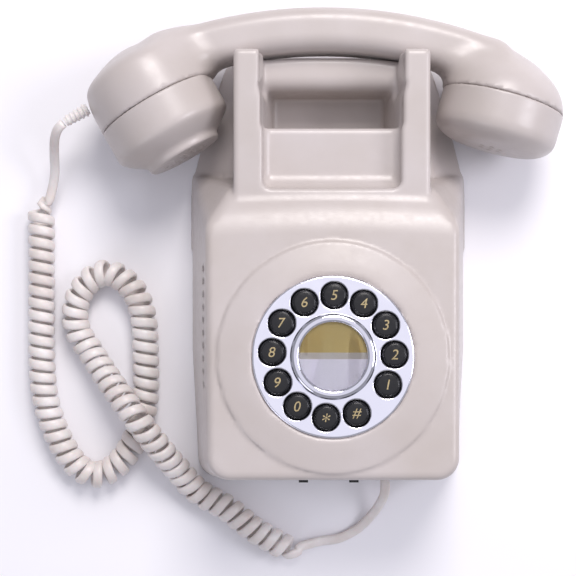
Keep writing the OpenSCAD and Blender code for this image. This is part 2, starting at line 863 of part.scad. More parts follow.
// Outer surface of the handset's moulding, drawn in by d
module handset_form(d) {
    for (i = [0:handle_pieces - 1])
        hull() {
            handle_slice((i - handle_pieces / 2) * handle_step, d);
            handle_slice((i + 1 - handle_pieces / 2) * handle_step, d);
        }
    cup_back(mouth_c, mouth_axis, mouth_rings, handle_half_angle - 2, d);
    cup_back(ear_c, ear_axis, ear_rings, -handle_half_angle - 0.5, d);
}

module handset_shell() {
    color(ivory)
    difference() {
        union() {
            difference() {
                handset_form(0);
                handset_form(wall);
            }
            for (c = [[mouth_c, mouth_axis], [ear_c, ear_axis]])
                on_axis(c[0], c[1])
                    translate([0, 0, -2.2]) {
                        cylinder(r = thread_d / 2, h = thread_l + 2.2);
                        cylinder(r = cup_d / 2 - 1, h = 2);
                    }
        }
        for (c = [[mouth_c, mouth_axis], [ear_c, ear_axis]])
            on_axis(c[0], c[1])
                translate([0, 0, -5])
                    cylinder(r = thread_d / 2 - 2, h = thread_l + 10);
        boot_place()
            translate([0, 0, -9])
                rotate(7)
                    cylinder(r = boot_d / 2 - 0.5, h = 12, $fn = 24);
    }
}

// Round shell of a cap, with its open end on the cup's rim
module cap_shell(face) {
    inner = [for (p = face) [max(0, p[0] - wall), p[1] - wall]];
    rotate_extrude($fn = 96)
        polygon(concat([[cup_d / 2 - wall, 0.1], [cup_d / 2, 0.1]], face,
                       [for (i = [len(inner) - 1:-1:0]) inner[i]]));
}

module sound_holes(count, ring_r, start) {
    for (i = [0:count - 1])
        rotate(360 * i / count)
            translate([ring_r, 0, start])
                cylinder(r = 1, h = 12, $fn = 24);
}

module ear_cap() {
    top = cap_side + ear_rise;
    color(ivory)
    on_axis(ear_c, ear_axis)
        difference() {
            cap_shell([[cup_d / 2, cap_side - 1], [cup_d / 2 - 1.6, cap_side + 2],
                       [cup_d / 2 - 7, top - 1], [cup_d / 2 - 12, top], [0, top - 0.6]]);
            translate([0, 0, top - 9])
                cylinder(r = 1, h = 12, $fn = 24);
            sound_holes(6, 5, top - 9);
        }
}

module mouth_cap() {
    top = cap_side + mouth_rise;
    color(ivory)
    on_axis(mouth_c, mouth_axis)
        difference() {
            cap_shell([[cup_d / 2, cap_side], [cup_d / 2 - 2.4, cap_side + 3],
                       [mouth_face_d / 2 + 1.5, top - 4], [mouth_face_d / 2, top - 3],
                       [mouth_face_d / 2 - 0.6, top], [0, top]]);
            sound_holes(6, 5, top - 9);
            sound_holes(12, 11, top - 9);
        }
}

module receiver_capsule() {
    color(steel)
    on_axis(ear_c, ear_axis)
        translate([0, 0, thread_l + 0.5])
            cylinder(r = capsule_d / 2, h = 7.5);
}

module receiver_seal() {
    color(black)
    on_axis(ear_c, ear_axis)
        translate([0, 0, thread_l + 8])
            tube(capsule_d / 2 - 4, capsule_d / 2 - 8, cap_side + ear_rise - wall - thread_l - 9);
}

module microphone_holder() {
    color("#8d8a84")
    on_axis(mouth_c, mouth_axis)
        translate([0, 0, thread_l + 0.5])
            tube(capsule_d / 2, 9 + fix_gap, 5);
}

module microphone_capsule() {
    color(steel)
    on_axis(mouth_c, mouth_axis)
        translate([0, 0, thread_l + 2])
            cylinder(r = 9, h = 9);
}

module handset_weight() {
    color(steel)
    box([arc_x - 30, cradle_y + wall + 2, handset_z - 7],
        [arc_x + 30, cradle_y + handle_h - wall - 4, handset_z + 7]);
}

module boot_place() {
    way = boot_end - boot_start;
    translate(boot_start)
        rotate([0, 0, atan2(way[1], way[0])])
            rotate([0, 90, 0])
                children();
}

// Ribbed rubber boot where the cord leaves the handset
module strain_relief() {
    color(ivory_light)
    boot_place() {
        translate([0, 0, -6])
            cylinder(r = boot_d / 2 - 0.8, h = 6 + boot_l);
        for (i = [0:4])
            translate([0, 0, 1 + i * 2.3])
                cylinder(r = boot_d / 2 - i * 0.1, h = 1.3);
    }
}

module handset_tail() {
    color(ivory_light)
    sweep(handset_tail_route, cord_w, cord_t, 8);
}

module cord_curl() {
    color(ivory_light)
    sweep(curl_route, curl_d, curl_d, 12);
}

module base_tail() {
    color(ivory_light)
    sweep(base_tail_route, cord_w, cord_t, 8);
}

module cord_plug() {
    color("#e8e8ee", 0.5)
    box([jack_x - plug_w / 2, plug_y, jack_z - plug_h / 2],
        [jack_x + plug_w / 2, plug_y + plug_l, jack_z + plug_h / 2]);
}

front_cover();
back_plate();
cover_screws();
dial_plate();
card_ring();
number_card();
card_window();
keypad_frame();
keypad_mat();
keypad_board();
keypad_screws();
keypad_cable();
for (i = [0:11])
    key(i);
main_board();
board_parts();
board_screws();
ringer_bracket();
ringer_coil();
gongs();
gong_screws();
clapper();
hook_bar();
hook_spring();
hook_switch();
volume_knob();
volume_switch();
mode_knob();
mode_switch();
handset_jack();
line_jack();
handset_shell();
ear_cap();
mouth_cap();
receiver_capsule();
receiver_seal();
microphone_capsule();
microphone_holder();
handset_weight();
strain_relief();
handset_tail();
cord_curl();
base_tail();
cord_plug();
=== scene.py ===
import bpy
import numpy as np
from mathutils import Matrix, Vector


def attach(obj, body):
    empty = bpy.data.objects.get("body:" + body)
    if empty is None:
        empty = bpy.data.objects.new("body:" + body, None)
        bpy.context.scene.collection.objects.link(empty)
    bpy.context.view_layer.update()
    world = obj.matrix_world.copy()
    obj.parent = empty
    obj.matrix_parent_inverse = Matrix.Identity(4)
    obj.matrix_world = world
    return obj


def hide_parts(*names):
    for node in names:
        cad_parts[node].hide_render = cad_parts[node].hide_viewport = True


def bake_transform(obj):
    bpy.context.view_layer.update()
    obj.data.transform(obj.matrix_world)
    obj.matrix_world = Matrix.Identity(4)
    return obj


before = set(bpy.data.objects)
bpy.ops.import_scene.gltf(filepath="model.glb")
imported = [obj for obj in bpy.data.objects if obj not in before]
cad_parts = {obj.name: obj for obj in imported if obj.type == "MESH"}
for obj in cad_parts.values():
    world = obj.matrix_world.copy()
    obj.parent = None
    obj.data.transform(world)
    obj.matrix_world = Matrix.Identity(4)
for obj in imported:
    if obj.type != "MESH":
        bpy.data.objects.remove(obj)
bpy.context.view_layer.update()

# ---------------------------------------------------------------------------------------------
# Table top, camera and lamps: the telephone lies on its back on a white table and is seen
# straight from above, under one broad soft lamp beyond its top edge and three weaker ones.

MM = 0.001


def linear(hex_colour):
    """sRGB hex to linear RGBA: c/12.92 in the toe, else ((c + 0.055) / 1.055) ** 2.4."""
    c = np.array([int(hex_colour[i:i + 2], 16) for i in (1, 3, 5)]) / 255.0
    c = np.where(c <= 0.04045, c / 12.92, ((c + 0.055) / 1.055) ** 2.4)
    return (float(c[0]), float(c[1]), float(c[2]), 1.0)


def add(tree, kind, settings=None, links=None):
    """Adds one node: settings go to its inputs by name or number, or to its own properties,
    and links join other nodes' outputs to its inputs."""
    node = tree.nodes.new("ShaderNode" + kind)
    for key, value in (settings or {}).items():
        if isinstance(key, int) or (key in node.inputs and not hasattr(node, str(key))):
            node.inputs[key].default_value = value
        else:
            setattr(node, key, value)
    for key, source in (links or {}).items():
        tree.links.new(source, node.inputs[key])
    return node


def finish_of(name, colour, roughness, **sockets):
    """A material with one Principled shader, and the place on the piece in metres."""
    material = bpy.data.materials.new(name)
    material.use_nodes = True
    tree = material.node_tree
    tree.nodes.clear()
    shader = add(tree, "BsdfPrincipled")
    shader.inputs["Base Color"].default_value = linear(colour)
    shader.inputs["Roughness"].default_value = roughness
    for key, value in sockets.items():
        shader.inputs[key.replace("_", " ")].default_value = value
    add(tree, "OutputMaterial", links={"Surface": shader.outputs["BSDF"]})
    place = add(tree, "TexCoord").outputs["Object"]
    return material, tree, shader, place


LAMP_AIM = (0.0, 0.0, 0.03)


def soft_lamp(name, place, size, watts, colour):
    """A round area lamp of a width in metres, turned from its place to face the telephone."""
    lamp = bpy.data.lights.new(name, "AREA")
    lamp.shape = "DISK"
    lamp.size = size
    lamp.energy = watts
    lamp.color = linear(colour)[:3]
    holder = bpy.data.objects.new(name, lamp)
    bpy.context.scene.collection.objects.link(holder)
    holder.location = place
    holder.rotation_euler = (Vector(LAMP_AIM) - Vector(place)).to_track_quat("-Z", "Y").to_euler()


TABLE_HALF, TABLE_Z = 2.5, -0.0004
table_corners = np.array([[-1, -1], [1, -1], [1, 1], [-1, 1]]) * TABLE_HALF
table_mesh = bpy.data.meshes.new("table_top")
table_mesh.from_pydata([(float(x), float(y), TABLE_Z) for x, y in table_corners], [], [(0, 1, 2, 3)])
table_top = bpy.data.objects.new("table_top", table_mesh)
bpy.context.scene.collection.objects.link(table_top)
# Satin laminate: a soft matt white with hardly any grain, so the shadows on it stay clean
white_laminate, tree, shader, place = finish_of("white_laminate_satin", "#f3f2f6", 0.6)
grain = add(tree, "TexNoise", {"Scale": 900.0, "Detail": 3.0}, {"Vector": place})
relief = add(tree, "Bump", {"Strength": 0.04, "Distance": 0.0002}, {"Height": grain.outputs["Fac"]})
tree.links.new(relief.outputs["Normal"], shader.inputs["Normal"])
table_mesh.materials.append(white_laminate)

camera_data = bpy.data.cameras.new("camera")
camera_data.lens = 76.0
camera_data.sensor_width = 36.0
camera = bpy.data.objects.new("camera", camera_data)
bpy.context.scene.collection.objects.link(camera)
camera.location = (-0.0203, 0.0, 0.620)
bpy.context.scene.camera = camera
bpy.context.scene.view_settings.view_transform = "Standard"

soft_lamp("lamp_beyond", (0.15, 0.85, 1.05), 0.60, 11.5, "#fffaf8")
soft_lamp("lamp_right", (0.95, 0.15, 0.95), 0.60, 6.2, "#f8f6ff")
soft_lamp("lamp_near_left", (-0.75, -0.75, 0.90), 0.60, 1.6, "#f1f0ff")
soft_lamp("lamp_overhead", (0.05, 0.25, 1.40), 1.30, 2.5, "#f6f4ff")
room = bpy.data.worlds.new("white_room")
bpy.context.scene.world = room
room.use_nodes = True
room.node_tree.nodes["Background"].inputs["Color"].default_value = linear("#efeff8")
room.node_tree.nodes["Background"].inputs["Strength"].default_value = 0.45

# ---------------------------------------------------------------------------------------------
# Handset cord: a flat soft PVC cord, 4.8 by 2.6 mm, heat-set into a coil 13.6 mm across, with a
# straight tail into the handset and another into the base. It lies on the table in one loop.

CORD_WIDE, CORD_THICK, COIL_ACROSS, COIL_PITCH = 4.8, 2.6, 13.6, 6.1
handset_tail_route = [[-128.8, 79.6, 33], [-131.5, 77, 32], [-134, 72.5, 27.5],
                      [-135.5, 66, 20.5], [-136.5, 58, 14], [-138.5, 50, 10], [-141, 43, 9]]
curl_route = [[-144.5, 43, 7], [-144.5, 27, 7], [-144.5, 11, 7], [-144.5, -6, 7], [-144.5, -25, 7],
              [-144, -44, 7], [-141.5, -60, 7], [-136, -75, 7], [-128, -88, 7], [-118, -94, 7],
              [-107.5, -90, 7], [-99, -79, 7], [-94, -66.5, 7], [-92, -52, 7], [-92, -34, 7],
              [-93, -16, 7], [-97, -3, 7], [-104.5, 5, 7], [-113, 7.5, 7], [-121, 3, 7],
              [-126.5, -6, 7], [-127.5, -16, 7], [-125, -24, 7], [-119.5, -32, 8],
              [-112.5, -42, 12], [-102.5, -54.5, 18.5], [-94, -65.5, 22], [-85, -78, 18],
              [-75.5, -91, 11], [-65.5, -102.5, 7.5], [-51, -111, 7], [-38.5, -121, 7],
              [-27.5, -127.5, 7], [-16.5, -133, 7]]
base_tail_route = [[-14, -130.5, 6.5], [-4, -128.5, 3], [6, -127, 2], [15.5, -122, 2],
                   [23, -113.5, 5], [27, -106, 10], [28, -101, 14], [28, -94, 15]]


def smooth_line(points, step):
    """A curve through the points, each stretch a cubic whose end slopes are half the step between
    the neighbours, then points set along it every step."""
    p = np.array(points, float)
    p = np.vstack([2 * p[0] - p[1], p, 2 * p[-1] - p[-2]])
    t = np.linspace(0, 1, 24, endpoint=False)[None, :, None]
    a, b, c, d = (q[:, None, :] for q in (p[:-3], p[1:-2], p[2:-1], p[3:]))
    line = 0.5 * (2 * b + (c - a) * t + (2 * a - 5 * b + 4 * c - d) * t ** 2
                  + (3 * b - a - 3 * c + d) * t ** 3)
    line = np.vstack([line.reshape(-1, 3), p[-2]])
    run = np.concatenate([[0], np.cumsum(np.linalg.norm(np.diff(line, axis=0), axis=1))])
    at = np.linspace(0, run[-1], int(run[-1] / step) + 1)
    return np.stack([np.interp(at, run, line[:, k]) for k in range(3)], 1), at


def unit(v):
    """Vectors divided by their own length."""
    return v / np.linalg.norm(v, axis=-1, keepdims=True)


def surface(name, points, quads, finish, body, smooth=True, extra=()):
    """Puts millimetre points and faces into a new object at the origin that rides on a body."""
    mesh = bpy.data.meshes.new(name)
    faces = np.asarray(quads).tolist() + list(extra)
    mesh.from_pydata((np.asarray(points) * MM).tolist(), [], faces)
    mesh.validate()
    mesh.polygons.foreach_set("use_smooth", np.full(len(mesh.polygons), smooth))
    mesh.materials.append(finish)
    piece = bpy.data.objects.new(name, mesh)
    bpy.context.scene.collection.objects.link(piece)
    if body:
        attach(piece, body)
    return piece


def grid_faces(rows, columns):
    """Faces between neighbours of a grid of rows, each row closed on itself."""
    i, j = np.meshgrid(np.arange(rows - 1), np.arange(columns), indexing="ij")
    k = (j + 1) % columns
    return np.stack([i * columns + j, i * columns + k, (i + 1) * columns + k,
                     (i + 1) * columns + j], -1).reshape(-1, 4)


def ramp(x, low, high):
    """0 below low, 1 above high, and a smooth cubic between."""
    t = np.clip((x - low) / (high - low), 0, 1)
    return t * t * (3 - 2 * t)


AXIS_STEP, RING_STEP, RING_POINTS = 0.28, 1.75, 14
# The coil swings out to its full width over 10 mm at either end, from just before its first turn
BEFORE_COIL, INTO_COIL = 3, 7
axis_line, along = smooth_line(handset_tail_route + curl_route + base_tail_route, AXIS_STEP)
curl_start = along[np.argmin(np.linalg.norm(axis_line - np.array(curl_route[0]), axis=1))]
curl_end = along[np.argmin(np.linalg.norm(axis_line - np.array(curl_route[-1]), axis=1))]
in_coil = ramp(along, curl_start - BEFORE_COIL, curl_start + INTO_COIL)
in_coil = in_coil * (1 - ramp(along, curl_end - INTO_COIL, curl_end + BEFORE_COIL))
turning = np.concatenate([[0], np.cumsum(0.5 * (in_coil[1:] + in_coil[:-1]) * np.diff(along))])
turns = round(turning[-1] / COIL_PITCH)
coil_angle = np.pi / 2 - 2 * np.pi * turns * turning / turning[-1]
forward = unit(np.gradient(axis_line, axis=0))
up = unit(np.array([0, 0, 1.0]) - forward * forward[:, 2:3])
across = np.cross(up, forward)
outward = np.cos(coil_angle)[:, None] * across + np.sin(coil_angle)[:, None] * up
coil_radius = (COIL_ACROSS - CORD_THICK) / 2
strand = axis_line + outward * (coil_radius * in_coil)[:, None]
# Rings stand close together where the strand turns and further apart along the tails
strand_run = np.concatenate([[0], np.cumsum(np.linalg.norm(np.diff(strand, axis=0), axis=1))])
ring_at = np.linspace(0, strand_run[-1], int(strand_run[-1] / RING_STEP))
strand_path = np.stack([np.interp(ring_at, strand_run, strand[:, k]) for k in range(3)], 1)
outward = np.stack([np.interp(ring_at, strand_run, outward[:, k]) for k in range(3)], 1)
travel = unit(np.gradient(strand_path, axis=0))
thick_way = unit(outward - travel * np.sum(outward * travel, 1, keepdims=True))
wide_way = np.cross(thick_way, travel)
# The cord's section is an oval with flattened sides: powers of cosine and sine under 1 do that
round_ring = np.linspace(0, 2 * np.pi, RING_POINTS, endpoint=False)
wide = np.sign(np.cos(round_ring)) * np.abs(np.cos(round_ring)) ** 0.72 * CORD_WIDE / 2
thick = np.sign(np.sin(round_ring)) * np.abs(np.sin(round_ring)) ** 0.95 * CORD_THICK / 2
rings = (strand_path[:, None, :] + wide_way[:, None, :] * wide[None, :, None]
         + thick_way[:, None, :] * thick[None, :, None])
cord_points = rings.reshape(-1, 3)
last_ring = (len(strand_path) - 1) * RING_POINTS
# Soft extruded PVC: a dull, slightly waxy shine, and a little light passing under the skin
soft_pvc, tree, shader, place = finish_of("soft_pvc_extruded", "#e4dedb", 0.38, IOR=1.53,
                                          Subsurface_Weight=0.06, Subsurface_Scale=0.002)
grime = add(tree, "TexNoise", {"Scale": 45.0, "Detail": 4.0, "Roughness": 0.6}, {"Vector": place})
# Handling leaves the jacket slightly yellow in patches a few centimetres long
patch = add(tree, "ValToRGB", {}, {"Fac": grime.outputs["Fac"]})
patch.color_ramp.elements[0].position = 0.35
patch.color_ramp.elements[0].color = linear("#d8cfca")
patch.color_ramp.elements[1].position = 0.62
patch.color_ramp.elements[1].color = linear("#e9e4e2")
tree.links.new(patch.outputs["Color"], shader.inputs["Base Color"])
# Extrusion drag lines, about 0.5 mm apart
drag = add(tree, "TexNoise", {"Scale": 2000.0, "Detail": 2.0}, {"Vector": place})
relief = add(tree, "Bump", {"Strength": 0.12, "Distance": 0.0001}, {"Height": drag.outputs["Fac"]})
tree.links.new(relief.outputs["Normal"], shader.inputs["Normal"])
coiled_cord = surface("coiled_cord", cord_points, grid_faces(len(strand_path), RING_POINTS), soft_pvc,
                      None, extra=[list(range(RING_POINTS))[::-1],
                                   list(range(last_ring, last_ring + RING_POINTS))])
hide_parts("handset_tail", "cord_curl", "base_tail")
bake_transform(coiled_cord)

# ---------------------------------------------------------------------------------------------
# Front cover: one moulding of ivory ABS, 2.6 mm thick, with a raised round dial seat, two front
# posts, a finger recess under a carrying bar, rear horns and louvres. Screwed on from behind.


def round_and(a, b, r):
    """Inside both shapes, with the edge where they meet rounded to radius r."""
    return np.minimum(np.maximum(a, b), -r) + np.hypot(np.maximum(a + r, 0), np.maximum(b + r, 0))


def round_or(a, b, r):
    """Inside either shape, with a fillet of radius r in the corner between them."""
    return -round_and(-a, -b, r)


def melt_and(a, b, k):
    """The larger of two distances, raised by (k - gap)^2 / 4k where they are closer than k."""
    h = np.maximum(k - np.abs(a - b), 0)
    return np.maximum(a, b) + h * h / (4 * k)


SLOPE_STEP, SETTLE_ROUNDS, MOST_SHIFT = 0.02, 5, 0.75


def moulded(name, shape, low, high, cell, finish, body, place=None):
    """The surface where shape(x, y, z), a distance in mm, is zero: one point in each grid cube that
    the surface crosses, at the mean of its edge crossings, then moved along the slope on to it."""
    low, high = np.array(low, float), np.array(high, float)
    size = np.ceil((high - low) / cell).astype(int) + 1
    axes = [low[k] + cell * np.arange(size[k]) for k in range(3)]
    field = shape(*np.meshgrid(*axes, indexing="ij")).astype(np.float64)
    inside = field < 0
    cubes = tuple(size - 1)
    total = np.zeros(cubes + (3,))
    count = np.zeros(cubes)
    crossings = []
    for k in range(3):
        first = [slice(None)] * 3
        second = [slice(None)] * 3
        first[k], second[k] = slice(None, -1), slice(1, None)
        f0, f1 = field[tuple(first)], field[tuple(second)]
        hit = inside[tuple(first)] != inside[tuple(second)]
        i = np.argwhere(hit)
        t = f0[hit] / (f0[hit] - f1[hit])
        point = i.astype(float)
        point[:, k] += t
        crossings.append((k, i, inside[tuple(first)][hit]))
        m, n = (k + 1) % 3, (k + 2) % 3
        for dm in (0, 1):
            for dn in (0, 1):
                c = i.copy()
                c[:, m] -= dm
                c[:, n] -= dn
                np.add.at(total, tuple(c.T), point)
                np.add.at(count, tuple(c.T), 1)
    used = count > 0
    number = np.full(cubes, -1)
    number[used] = np.arange(used.sum())
    points = low + cell * total[used] / count[used][:, None]
    quads = []
    for k, i, first_inside in crossings:
        m, n = (k + 1) % 3, (k + 2) % 3
        corner = []
        for dm, dn in ((1, 1), (0, 1), (0, 0), (1, 0)):
            c = i.copy()
            c[:, m] -= dm
            c[:, n] -= dn
            corner.append(number[tuple(c.T)])
        q = np.stack(corner, 1)
        q[~first_inside] = q[~first_inside][:, ::-1]
        quads.append(q)
    start = points.copy()
    e = SLOPE_STEP
    for _ in range(SETTLE_ROUNDS):
        x, y, z = points.T
        f = shape(x, y, z)
        slope = np.stack([shape(x + e, y, z) - shape(x - e, y, z),
                          shape(x, y + e, z) - shape(x, y - e, z),
                          shape(x, y, z + e) - shape(x, y, z - e)], 1) / (2 * e)
        step = -slope * (f / np.maximum(np.sum(slope ** 2, 1), 0.2))[:, None]
        points = start + np.clip(points + step - start, -MOST_SHIFT * cell, MOST_SHIFT * cell)
    if place is not None:
        points = place(points)
    return surface(name, points, np.vstack(quads), finish, body)


# The dial's middle on the front face and the face's slope, then the dial seat and the wall
FACE_Y, FACE_Z, TILT = -31.0, 71.249, np.radians(5.0)
PLATE_R, WELL_R, CONE_R, CONE_H, WALL = 36.8, 35.0, 52.5, 3.0, 2.6
# The two posts, and the finger gap between them
POST_X, POST_TOP, POST_Z, GAP_X = 45.5, 110.5, 60.0, 32.0
# The cover's bottom, its half width at the back and at the front face, and that face's height
BOTTOM_Y, REAR_X, FRONT_X, BODY_Z = -96.0, 69.0, 57.0, 71.0
# The handle is an arc about this point, and lies in a trough that leaves it some room
ARC_X, ARC_Y, ARC_R, HANDSET_Z, TROUGH_HALF = -3.4, -93.0, 216.5, 33.0, 13.3


def face_height(y, z):
    """Height above the sloping front face, along its own normal."""
    return (y - FACE_Y) * np.sin(TILT) + (z - FACE_Z) * np.cos(TILT)


def from_face(points):
    """Turns points drawn flat on the dial (x, up, height) on to the sloping face."""
    x, v, h = points.T
    return np.stack([x, FACE_Y + v * np.cos(TILT) + h * np.sin(TILT),
                     FACE_Z - v * np.sin(TILT) + h * np.cos(TILT)], 1)


def cover_outside(x, y, z):
    """Lower box with sloping sides, joined to the post block and the low rear wings, with the dial
    seat added and the cradle, finger recess and carrying opening taken away. Each plane is a sum
    of its slope times each coordinate, divided by the slope's length so that it measures mm."""
    ax = np.abs(x)
    face = face_height(y, z)
    # Side and bottom walls lean in towards the front, and the sides draw in below the dial
    rear_x = REAR_X - 3 * np.clip((-30 - y) / 56, 0, 1)
    side = (ax - rear_x + (rear_x - FRONT_X) * z / BODY_Z) * 0.985
    bottom = (BOTTOM_Y + 10 * z / 76 - y) * 0.99
    # A bowed band, two shoulders and a long slope lead from the front face down to the cradle
    band = ((y - 30.3 - 1.4 * (1 - (x / 50) ** 2)) * 6 + (z - 66) * 10.5) / 12.09
    shoulder = (ax - 56.4) * 0.666 + (y - 30) * 0.629 + (z - 66) * 0.400
    back_slope = ((y - 46) * 58 + (z - 60) * 12) / 59.2
    box = round_and(round_and(side, bottom, 10), face, 3)
    box = melt_and(melt_and(melt_and(box, band, 3.0), shoulder, 3.0), back_slope, 3)
    # The posts are cut from one block by the panel, recess and opening below
    posts = round_and(round_and(ax - POST_X, np.maximum(y - POST_TOP, 38 - y), 2), z - POST_Z, 2)
    # The rear wings taper towards the top and lean in as they rise from the wall
    lean = ax + np.clip(z - 2, 0, 40) * 0.86
    wing = melt_and((lean - 69) * 0.955 + (y - 58) * 0.298, (lean - 64) * 0.977 + (y - 74) * 0.216, 2)
    wing = melt_and(melt_and(wing, (lean - 57) * 0.8 + (y - 105.7) * 0.6, 3), lean - 69, 2)
    wing = round_and(round_and(wing, y - 113.6, 2.5), z - 22, 2.5)
    wing = np.maximum(wing, 20 - y)
    solid = round_or(round_or(box, posts, 1.2), wing, 2)
    # The dial seat is a flat cone on the face, cut off at its own radius
    v = (y - FACE_Y) * np.cos(TILT) - (z - FACE_Z) * np.sin(TILT)
    rho = np.hypot(x, v)
    cone = round_and(((rho - CONE_R) * 2.1 + (face - 0.9) * 14.5) / 14.65, face - CONE_H, 0.8)
    cone = np.maximum(round_and(cone, rho - CONE_R, 0.6), -face - 2)
    solid = round_or(solid, cone, 0.3)
    # Cut away: the gap between the posts, the finger recess, the opening behind the handle, and
    # the trough that the handle lies in
    panel = round_and(round_and(46 - y, 50 - z, 8), ax - GAP_X, 4)
    recess = round_and(round_and(75 - y, y - 95.5, 2),
                       round_and(6 - z, ax - 28 - 4 * (z - 6) / 44, 2.5), 1.5)
    opening = round_and(round_and(93.5 - y, 35 - z, 1), ax - GAP_X, 1)
    reach = np.hypot(x - ARC_X, y - ARC_Y)
    trough = round_and(ARC_R - 10.8 - reach, np.abs(z - HANDSET_Z) - TROUGH_HALF, 6)
    cut = round_or(round_or(panel, recess, 2), opening, 6)
    cut = round_or(cut, trough, 4)
    return round_and(solid, -cut, 1.3)


def cover_shape(x, y, z):
    """A wall of even thickness inside that outside, open at the back, then its holes."""
    outside = cover_outside(x, y, z)
    wall = np.maximum(np.maximum(outside, -outside - WALL), -z)
    face = face_height(y, z)
    v = (y - FACE_Y) * np.cos(TILT) - (z - FACE_Z) * np.sin(TILT)
    rho = np.hypot(x, v)
    seat = np.maximum(rho - PLATE_R, 1.7 - face)
    well = np.maximum(rho - WELL_R, -face - 14)
    wall = np.maximum(wall, -np.minimum(seat, well))
    # Ten louvres on one side, two plunger holes, two knob slots and the socket for the cord
    slot = np.clip(np.round((y - 9) / 6), -9, 0)
    louvre = np.maximum(np.maximum(np.abs(y - 9 - 6 * slot) - 1.0, np.abs(z - 54.5) - 4.5), x + 51)
    plunger = np.maximum(np.hypot(np.abs(x) - 38.75, z - HANDSET_Z) - 2.9, 60 - y)
    knob = np.maximum(np.maximum(np.abs(np.abs(x) - 12.6) - 4.7, np.abs(z - 12) - 1.9), y + 84)
    socket = np.maximum(np.maximum(np.abs(x - 28) - 5, np.abs(z - 15) - 4.2), y + 84)
    holes = np.minimum(np.minimum(louvre, plunger), np.minimum(knob, socket))
    return np.maximum(wall, -holes)


# Moulded ABS: an even ivory with a soft, broad shine, a little duller where it is scuffed
ivory_abs, tree, shader, place = finish_of("ivory_abs_moulded_semi_gloss", "#d8cfd1", 0.34, IOR=1.53,
                                           Coat_Weight=0.08, Coat_Roughness=0.25)
# Decades of light and hands: broad, faint yellowing a few centimetres across, and fine dust
age = add(tree, "TexNoise", {"Scale": 22.0, "Detail": 5.0, "Roughness": 0.55}, {"Vector": place})
tone = add(tree, "ValToRGB", {}, {"Fac": age.outputs["Fac"]})
tone.color_ramp.elements[0].position = 0.32
tone.color_ramp.elements[0].color = linear("#b9b0ab")
tone.color_ramp.elements[1].position = 0.70
tone.color_ramp.elements[1].color = linear("#c2bab8")
tree.links.new(tone.outputs["Color"], shader.inputs["Base Color"])
scuffs = add(tree, "TexNoise", {"Scale": 260.0, "Detail": 6.0, "Roughness": 0.7}, {"Vector": place})
dull = add(tree, "MapRange", {"From Min": 0.35, "From Max": 0.75, "To Min": 0.28, "To Max": 0.44},
           {"Value": scuffs.outputs["Fac"]})
tree.links.new(dull.outputs["Result"], shader.inputs["Roughness"])
# Spark-eroded mould grain, 0.35 mm, drawn just deep enough to soften the shine
spark = add(tree, "TexNoise", {"Scale": 2800.0, "Detail": 2.0}, {"Vector": place})
orange_peel = add(tree, "TexNoise", {"Scale": 260.0, "Detail": 1.0}, {"Vector": place})
relief = add(tree, "Bump", {"Strength": 0.10, "Distance": 0.0001}, {"Height": spark.outputs["Fac"]})
relief = add(tree, "Bump", {"Strength": 0.05, "Distance": 0.0003},
             {"Height": orange_peel.outputs["Fac"], "Normal": relief.outputs["Normal"]})
tree.links.new(relief.outputs["Normal"], shader.inputs["Normal"])

cover = moulded("moulded_front_cover", cover_shape, (-71, -99, -2.4), (71, 116, 80), 1.25, ivory_abs,
                "base")
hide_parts("front_cover")

# ---------------------------------------------------------------------------------------------
# Handset: a curved ABS handle of rounded oblong section, whose two ends swell into cup backs,
# with a screwed-on cap over the receiver and another over the microphone.

# Middle of each cup's rim, and the way that the cup faces
MOUTH_C, MOUTH_AXIS = np.array([-83.6, 88.0]), np.array([0.5, -0.866])
EAR_C, EAR_AXIS = np.array([83.5, 89.5]), np.array([-0.2756, -0.9613])
# Half thickness and half width of the handle, how many degrees it runs round its arc each way,
# and how far from a cup it starts to swell into it
BAR_HALF_T, BAR_HALF_W, EAR_TURN, MOUTH_TURN, SWELL = 10.5, 13.0, 22.5, 20.5, 12.0


def cup_places(x, y, z, centre, axis):
    """Distance behind the cup's rim, and distance from the cup's axis."""
    ahead = (x - centre[0]) * axis[0] + (y - centre[1]) * axis[1]
    aside = (x - centre[0]) * axis[1] - (y - centre[1]) * axis[0]
    return -ahead, np.hypot(aside, z - HANDSET_Z)


def turned_solid(r, t, profile, k):
    """Inside every line of a convex profile of (r, t) pairs, corners eased over k mm."""
    p = np.array(profile, float)
    d = None
    for (r0, t0), (r1, t1) in zip(p[:-1], p[1:]):
        along_r, along_t = r1 - r0, t1 - t0
        length = np.hypot(along_r, along_t)
        line = ((r - r0) * along_t - (t - t0) * along_r) / length
        d = line if d is None else melt_and(d, line, k)
    return d


def handset_outside(x, y, z):
    """A rounded oblong swept round an arc, joined to two turned cups."""
    reach = np.hypot(x - ARC_X, y - ARC_Y)
    turn = np.arctan2(x - ARC_X, y - ARC_Y)
    bar = round_and(np.abs(reach - ARC_R) - BAR_HALF_T, np.abs(z - HANDSET_Z) - BAR_HALF_W, 7)
    bar = melt_and(bar, (turn - np.radians(EAR_TURN)) * 216, 6)
    bar = melt_and(bar, (-turn - np.radians(MOUTH_TURN)) * 216, 6)
    t, r = cup_places(x, y, z, MOUTH_C, MOUTH_AXIS)
    mouth = turned_solid(r, t, [[29.5, 0], [29.0, 16], [26.5, 22], [18, 26.5], [9, 30], [0, 31]], 3)
    mouth = round_and(mouth, 0.15 - t, 0.4)
    t, r = cup_places(x, y, z, EAR_C, EAR_AXIS)
    ear = turned_solid(r, t, [[29.5, 0], [28.5, 6], [24.5, 12], [15.5, 19], [4, 24.5], [0, 25]], 4)
    ear = round_and(ear, 0.15 - t, 0.4)
    cups = np.minimum(mouth, ear)
    h = np.maximum(SWELL - np.abs(bar - cups), 0)
    return np.minimum(bar, cups) - h * h / (4 * SWELL)


